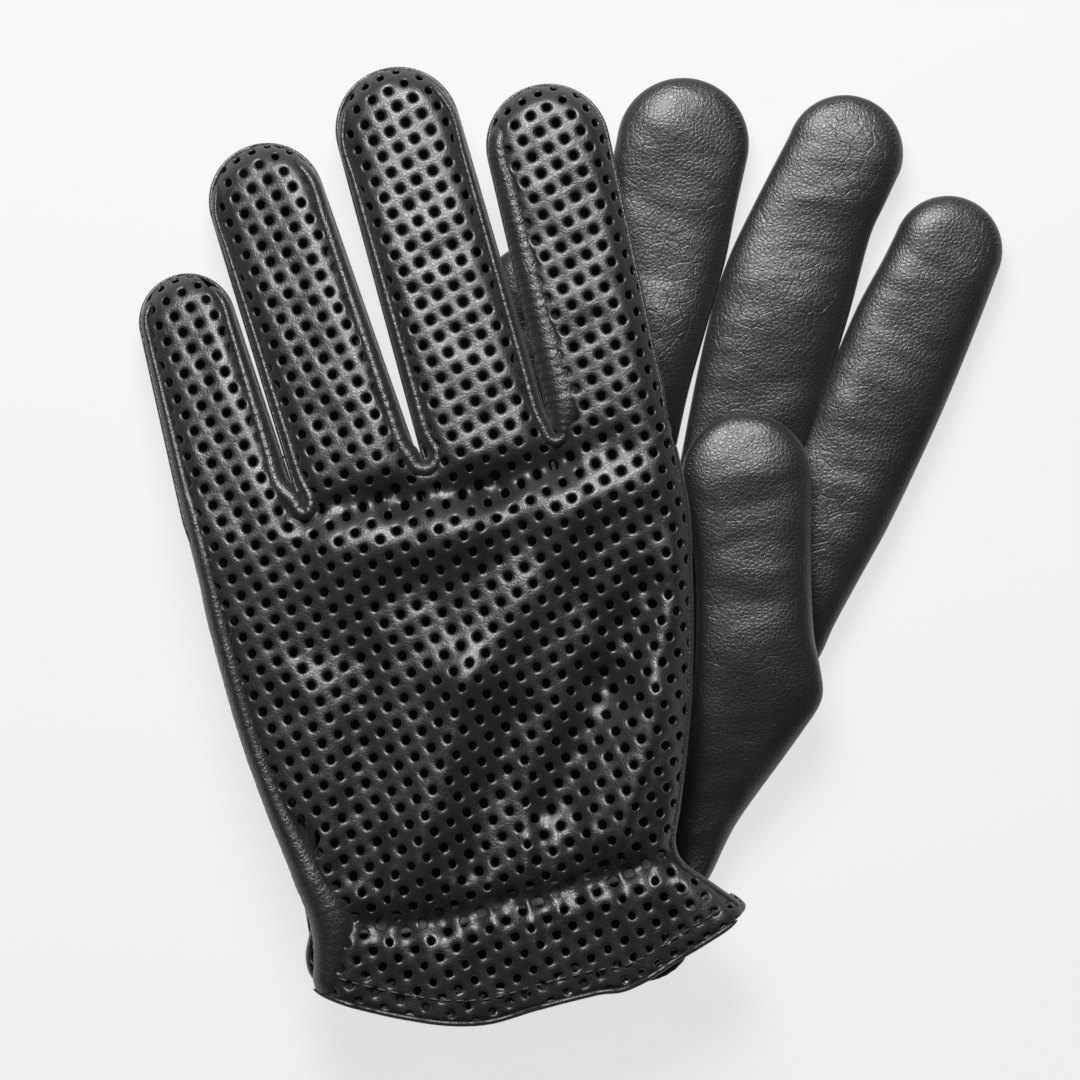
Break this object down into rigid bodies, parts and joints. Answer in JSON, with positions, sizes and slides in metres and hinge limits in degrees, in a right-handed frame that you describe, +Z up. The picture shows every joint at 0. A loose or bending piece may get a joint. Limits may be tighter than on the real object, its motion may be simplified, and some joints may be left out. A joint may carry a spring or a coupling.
{
  "type": "leather driving gloves",
  "caption": "Pair of unlined leather driving gloves with perforated backs and elasticated slip-on cuffs, laid crossed with one palm up.",
  "frame": {"origin": "centre of the pair's box, on the surface that it lies on", "axes": "+Y towards the fingertips, +X towards the lower glove's index finger, +Z up off the table"},
  "size_m": [0.2182, 0.2392, 0.0341],
  "materials": {
    "perforated_leather": "soft semi-matt, punched with round holes",
    "smooth_leather": "soft semi-matt with a fine pebble grain",
    "elastic": "ribbed",
    "thread": "twisted polyester thread"
  },
  "bodies": {
    "right_hand": {"right_back": "perforated_leather", "right_palm": "smooth_leather", "right_little_back": "perforated_leather", "right_little_front": "smooth_leather", "right_little_fourchette_inner": "smooth_leather", "right_ring_back": "perforated_leather", "right_ring_front": "smooth_leather", "right_ring_fourchette_outer": "smooth_leather", "right_ring_fourchette_inner": "smooth_leather", "right_quirk_little_ring": "smooth_leather", "right_quirk_ring_middle": "smooth_leather", "right_quirk_middle_index": "smooth_leather", "right_elastic": "elastic", "right_hem_thread": "thread"},
    "right_middle": {"right_middle_back": "perforated_leather", "right_middle_front": "smooth_leather", "right_middle_fourchette_outer": "smooth_leather", "right_middle_fourchette_inner": "smooth_leather"},
    "right_index": {"right_index_back": "perforated_leather", "right_index_front": "smooth_leather", "right_index_fourchette_outer": "smooth_leather"},
    "right_thumb": {"right_thumb_back": "smooth_leather", "right_thumb_front": "smooth_leather"},
    "left_hand": {"left_back": "perforated_leather", "left_palm": "smooth_leather", "left_thumb_back": "smooth_leather", "left_thumb_front": "smooth_leather", "left_quirk_little_ring": "smooth_leather", "left_quirk_ring_middle": "smooth_leather", "left_quirk_middle_index": "smooth_leather", "left_elastic": "elastic", "left_hem_thread": "thread"},
    "left_little": {"left_little_back": "perforated_leather", "left_little_front": "smooth_leather", "left_little_fourchette_inner": "smooth_leather"},
    "left_ring": {"left_ring_back": "perforated_leather", "left_ring_front": "smooth_leather", "left_ring_fourchette_outer": "smooth_leather", "left_ring_fourchette_inner": "smooth_leather"},
    "left_middle": {"left_middle_back": "perforated_leather", "left_middle_front": "smooth_leather", "left_middle_fourchette_outer": "smooth_leather", "left_middle_fourchette_inner": "smooth_leather"},
    "left_index": {"left_index_back": "perforated_leather", "left_index_front": "smooth_leather", "left_index_fourchette_outer": "smooth_leather"}
  },
  "joints": [
    {"name": "left_glove_lift", "type": "slide", "parent": "right_hand", "child": "left_hand", "axis": [0, 0, 1], "range_m": [0, 0.12]},
    {"name": "left_little_bend", "type": "hinge", "parent": "left_hand", "child": "left_little", "pos_m": [-0.0818, 0.0027, 0.0336], "axis": [0.9665, 0.2568, 0], "range_deg": [0, 60]},
    {"name": "left_ring_bend", "type": "hinge", "parent": "left_hand", "child": "left_ring", "pos_m": [-0.052, 0.01125, 0.0336], "axis": [0.9561, 0.293, 0], "range_deg": [0, 60]},
    {"name": "left_middle_bend", "type": "hinge", "parent": "left_hand", "child": "left_middle", "pos_m": [-0.02025, 0.02025, 0.0336], "axis": [0.9675, 0.253, 0], "range_deg": [0, 60]},
    {"name": "left_index_bend", "type": "hinge", "parent": "left_hand", "child": "left_index", "pos_m": [0.0099, 0.02775, 0.0336], "axis": [0.9737, 0.2277, 0], "range_deg": [0, 60]},
    {"name": "right_middle_bend", "type": "hinge", "parent": "right_hand", "child": "right_middle", "pos_m": [0.0482, 0.04205, 0.012], "axis": [0.9415, -0.3371, 0], "range_deg": [0, 85]},
    {"name": "right_index_bend", "type": "hinge", "parent": "right_hand", "child": "right_index", "pos_m": [0.0776, 0.03095, 0.012], "axis": [0.9287, -0.3708, 0], "range_deg": [0, 85]},
    {"name": "right_thumb_lift", "type": "hinge", "parent": "right_hand", "child": "right_thumb", "pos_m": [0.0458, -0.0275, 0.0123], "axis": [0.9994, 0.0345, 0], "range_deg": [0, 70]}
  ]
}
